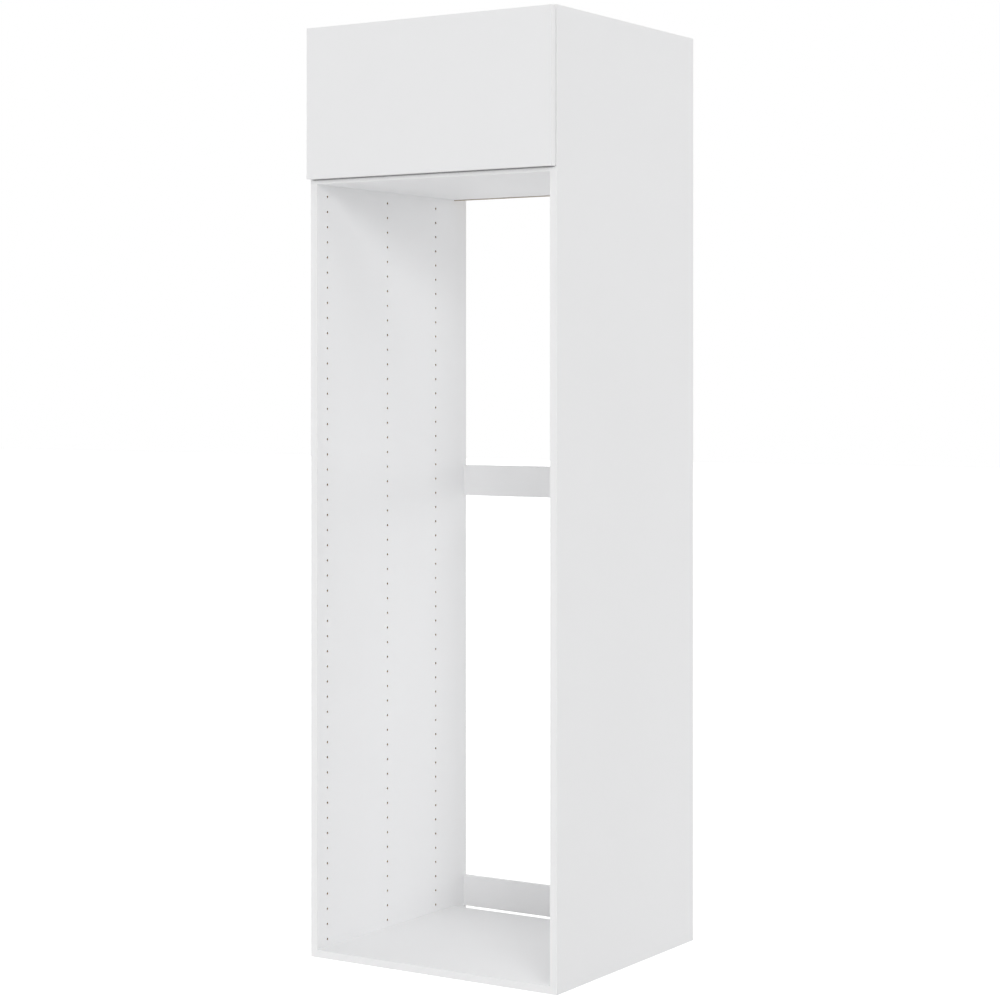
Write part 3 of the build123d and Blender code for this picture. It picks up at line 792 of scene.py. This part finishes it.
def screw_tree():
    sizes = ("Head radius", "Head height", "Shank radius", "Shank length")
    kinds = {label: "NodeSocketFloat" for label in sizes}
    tree = Tree("round head screw", {**kinds, "Metal": "NodeSocketMaterial"})
    radius, height = tree.given("Head radius"), tree.given("Head height")
    ball = {"Segments": HEAD_SIDES, "Rings": HEAD_SIDES // 2, "Radius": 1.0}
    ball = tree.add("GeometryNodeMeshUVSphere", inputs=ball)
    squash = tree.add("ShaderNodeCombineXYZ", inputs={0: radius, 1: radius, 2: height})
    ball = tree.add("GeometryNodeTransform", inputs={"Geometry": ball, "Scale": squash})

    long = tree.product(radius, RECESS_LENGTH)
    wide = tree.product(radius, RECESS_WIDTH)
    deep = tree.product(height, RECESS_DEPTH)
    cutters = []
    for first, second in ((long, wide), (wide, long)):
        bar = tree.add("ShaderNodeCombineXYZ", inputs={0: first, 1: second, 2: deep})
        bar = tree.add("GeometryNodeMeshCube", inputs={"Size": bar})
        cutters.append(tree.moved(bar, tree.add("ShaderNodeCombineXYZ", inputs={2: height})))
    below = tree.product(radius, -CUT_OFF / 2)
    span = tree.product(radius, CUT_OFF)
    block = tree.add("ShaderNodeCombineXYZ", inputs={0: span, 1: span, 2: span})
    block = tree.add("GeometryNodeMeshCube", inputs={"Size": block})
    cutters.append(tree.moved(block, tree.add("ShaderNodeCombineXYZ", inputs={2: below})))
    head = tree.without(ball, tree.joined(*cutters))

    reach = tree.given("Shank length")
    shank = tree.cylinder(HEAD_SIDES // 2, tree.given("Shank radius"), reach)
    sunk = tree.add("ShaderNodeCombineXYZ", inputs={2: tree.product(reach, -0.5)})
    screw = tree.joined(head, tree.moved(shank, sunk))
    turn = {"Vector": tree.read("direction", "FLOAT_VECTOR")}
    turn = tree.add("FunctionNodeAlignRotationToVector", {"axis": "Z"}, turn)
    return tree.close(tree.finished(tree.soft(tree.set_out(screw, turn)), tree.given("Metal")))


SCREW = screw_tree()
print("screw tree nodes", len(SCREW.nodes))

# %% Set out the screws
# Each kind is its head height and its shank radius.
WOOD_SCREW = (0.0018, 0.0015)
PLATE_SCREW = (0.0016, 0.0021)
ARM_SCREW = (0.0014, 0.0019)
CUP_SCREW = (0.0016, 0.0016)


def screws(node, axis, outward, head_height, shank_radius):
    """Put a screw with a real head in place of each screw of a node. outward is 1, -1 or 'inwards'."""
    seats, directions = [], []
    for low, high in islands(node):
        middle = (low + high) / 2
        sign = -math.copysign(1.0, middle[axis]) if outward == "inwards" else outward
        seat = middle.copy()
        seat[axis] = (high if sign > 0 else low)[axis] - sign * head_height
        direction = Vector((0.0, 0.0, 0.0))
        direction[axis] = sign
        seats.append(tuple(seat))
        directions.append(tuple(direction))
    across = [(high - low)[turned] for turned in range(3) if turned != axis]
    seed = bpy.data.meshes.new(node + "_seats")
    seed.from_pydata(seats, [], [])
    note(seed, "direction", directions)
    values = {
        "Head radius": max(across) / 2,
        "Head height": head_height,
        "Shank radius": shank_radius,
        "Shank length": (high - low)[axis] - head_height,
        "Metal": ZINC,
    }
    stand_in(grown(SCREW, seed, values, node + "_look"), node)


screws("rail_screws", 0, "inwards", *WOOD_SCREW)
screws("back_screws", 1, 1.0, *WOOD_SCREW)
for which in ("lower", "upper"):
    screws(which + "_plate_screws", 0, 1.0, *PLATE_SCREW)
    screws(which + "_arm_screws", 0, 1.0, *ARM_SCREW)
    screws(which + "_cup_screws", 1, 1.0, *CUP_SCREW)

# %% [markdown]
# ## Cams
#
# A cam is a stubby zinc drum. Its mouth takes the head of the bolt, and half a turn of the cross slot
# draws the two boards together. A small pointer on the rim shows the fitter where the mouth is.

# %% The cam tree
CAM_SIDES = 32
CAM_RADIUS = 0.0073
CAM_HEIGHT = 0.012
CAM_MOUTH = (0.0074, 0.0070, 0.0060)
CAM_SLOTS = ((0.0100, 0.0016), (0.0016, 0.0062))
CAM_SLOT_DEPTH = 0.002
POINTER_RADIUS = 0.0011
POINTER_DEPTH = 0.0006
POINTER_OUT = 0.82


def cam_tree():
    tree = Tree("connector cam", {"Casting": "NodeSocketMaterial"})
    drum = tree.moved(tree.cylinder(CAM_SIDES, CAM_RADIUS, CAM_HEIGHT), (0.0, 0.0, -CAM_HEIGHT / 2))
    width, height, length = CAM_MOUTH
    mouth = tree.add("GeometryNodeMeshCube", inputs={"Size": (2 * length, width, height)})
    cutters = [tree.moved(mouth, (CAM_RADIUS, 0.0, -BOARD / 2))]
    for along, across in CAM_SLOTS:
        slot = tree.add("GeometryNodeMeshCube", inputs={"Size": (along, across, 2 * CAM_SLOT_DEPTH)})
        cutters.append(slot)
    pointer = tree.cylinder(3, POINTER_RADIUS, 2 * POINTER_DEPTH)
    cutters.append(tree.moved(pointer, (POINTER_OUT * CAM_RADIUS, 0.0, 0.0)))
    cam = tree.without(drum, tree.joined(*cutters))
    axes = {"Primary Axis": tree.read("facing", "FLOAT_VECTOR")}
    axes["Secondary Axis"] = tree.read("towards_bolt", "FLOAT_VECTOR")
    turn = tree.add("FunctionNodeAxesToRotation", {"primary_axis": "Z", "secondary_axis": "X"}, axes)
    return tree.close(tree.finished(tree.soft(tree.set_out(cam, turn)), tree.given("Casting")))


# %% Set out the cams
places, facings, bolt_sides = [], [], []
deck_boxes = [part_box(deck) for deck in DECKS]
for box in cam_boxes:
    centre = middle_of(box)
    low, high = next(deck for deck in deck_boxes if deck[0].z < centre.z < deck[1].z)
    facing = 1.0 if centre.z > (low.z + high.z) / 2 else -1.0
    places.append((centre.x, centre.y, high.z if facing > 0 else low.z))
    facings.append((0.0, 0.0, facing))
    bolt_sides.append((math.copysign(1.0, centre.x), 0.0, 0.0))
seed = bpy.data.meshes.new("cam_places")
seed.from_pydata(places, [], [])
note(seed, "facing", facings)
note(seed, "towards_bolt", bolt_sides)
stand_in(grown(cam_tree(), seed, {"Casting": CASTING}, "cam_locks_look"), "cam_locks")

# %% [markdown]
# ## Light and stage
#
# Catalogue light for white furniture comes from everywhere: a white room, and large soft boxes to the
# front right. The low box lights the hollow from the side and draws the shadow of the shelf on the left
# wall. The wide one stands closer to the camera and reaches the rails, and the high one throws the
# shadow of the right-hand side on the bottom panel. All three are so far off that their light is even
# from top to bottom, so they are sun lamps with wide angles. The room is the world: some light overhead
# and on the left, and a bright band behind that fades with height, as a lit wall does. What the camera
# sees behind the unit is pure white, set by Light Path and not by more light.

# %% World
ROOM_ABOVE = 0.61
ROOM_LEFT = 0.79
ROOM_BEHIND = 2.14

studio = Finish("studio", "worlds")
bpy.context.scene.world = studio.material
direction = studio.add("ShaderNodeTexCoord", output="Generated")
sideways, backward, upward = (studio.part_of(direction, axis) for axis in range(3))
overhead = upward.at_least(0.0)
low_down = 1 - overhead
room = overhead * ROOM_ABOVE + (sideways * -1.0).at_least(0.0) * ROOM_LEFT
room = room + backward.at_least(0.0) * low_down * low_down * ROOM_BEHIND
room = studio.add("ShaderNodeBackground", inputs={"Color": (1.0, 1.0, 1.0), "Strength": room})
backdrop = studio.add("ShaderNodeBackground", inputs={"Color": (1.0, 1.0, 1.0), "Strength": 1.0})
picked = {0: studio.seen_directly(), 1: room, 2: backdrop}
picked = studio.add("ShaderNodeMixShader", inputs=picked)
studio.links.new(picked.socket, studio.nodes.new("ShaderNodeOutputWorld").inputs["Surface"])
print("room light", ROOM_ABOVE, "above", ROOM_LEFT, "left", ROOM_BEHIND, "behind")

# %% Soft boxes
# Each is its turn to the right, its rise and its spread in degrees, and its power.
SOFT_BOXES = {
    "low_box": (46.0, 16.5, 15.0, 0.51),
    "wide_box": (25.0, 8.0, 40.0, 0.54),
    "high_box": (46.0, 55.0, 30.0, 0.48),
}
LAMP_DISTANCE = 4.0

for name, (turn, rise, spread, power) in SOFT_BOXES.items():
    lamp = bpy.data.objects.new(name, bpy.data.lights.new(name, "SUN"))
    lamp.data.angle = math.radians(spread)
    lamp.data.energy = power
    turn, rise = math.radians(turn), math.radians(rise)
    aim = Vector((math.sin(turn) * math.cos(rise), -math.cos(turn) * math.cos(rise), math.sin(rise)))
    lamp.location = aim * LAMP_DISTANCE
    lamp.rotation_euler = aim.to_track_quat("Z", "Y").to_euler()
    bpy.context.scene.collection.objects.link(lamp)
    print(name, "at", [round(value, 2) for value in lamp.location])

# %% Floor
# The floor glows for the camera, and in reflections just enough to reach white. It lights nothing.
FLOOR_REACH = 30.0
FLOOR_GLOW = 0.7
MIRRORED_GLOW = 0.22
FLOOR_PALE = (0.90, 0.90, 0.90)
FLOOR_DULL = (0.88, 0.88, 0.88)


def studio_floor():
    finish = Finish("pale floor")
    grain = finish.noise(8.0, detail=3.0)
    colour = finish.mix(grain, FLOOR_PALE, FLOOR_DULL)
    body = finish.add("ShaderNodeBsdfPrincipled", inputs={"Base Color": colour, "Roughness": 0.8})
    extra = finish.add("ShaderNodeLightPath", output="Is Camera Ray") * (FLOOR_GLOW - MIRRORED_GLOW)
    glow = finish.seen_directly() * MIRRORED_GLOW + extra
    glow = finish.add("ShaderNodeEmission", inputs={"Strength": glow})
    both = finish.add("ShaderNodeAddShader", inputs={0: body, 1: glow})
    finish.links.new(both.socket, finish.nodes.new("ShaderNodeOutputMaterial").inputs["Surface"])
    return finish.material


floor_mesh = bpy.data.meshes.new("floor")
reach = FLOOR_REACH
corners = [(-reach, -reach, 0), (reach, -reach, 0), (reach, reach, 0), (-reach, reach, 0)]
floor_mesh.from_pydata(corners, [], [(0, 1, 2, 3)])
floor_mesh.materials.append(studio_floor())
floor = bpy.data.objects.new("floor", floor_mesh)
bpy.context.scene.collection.objects.link(floor)
print("floor", FLOOR_REACH * 2, "m square")

# %% [markdown]
# ## The end
#
# The last cell prints that the scene is built. Looks never change sizes.


print("scene built")
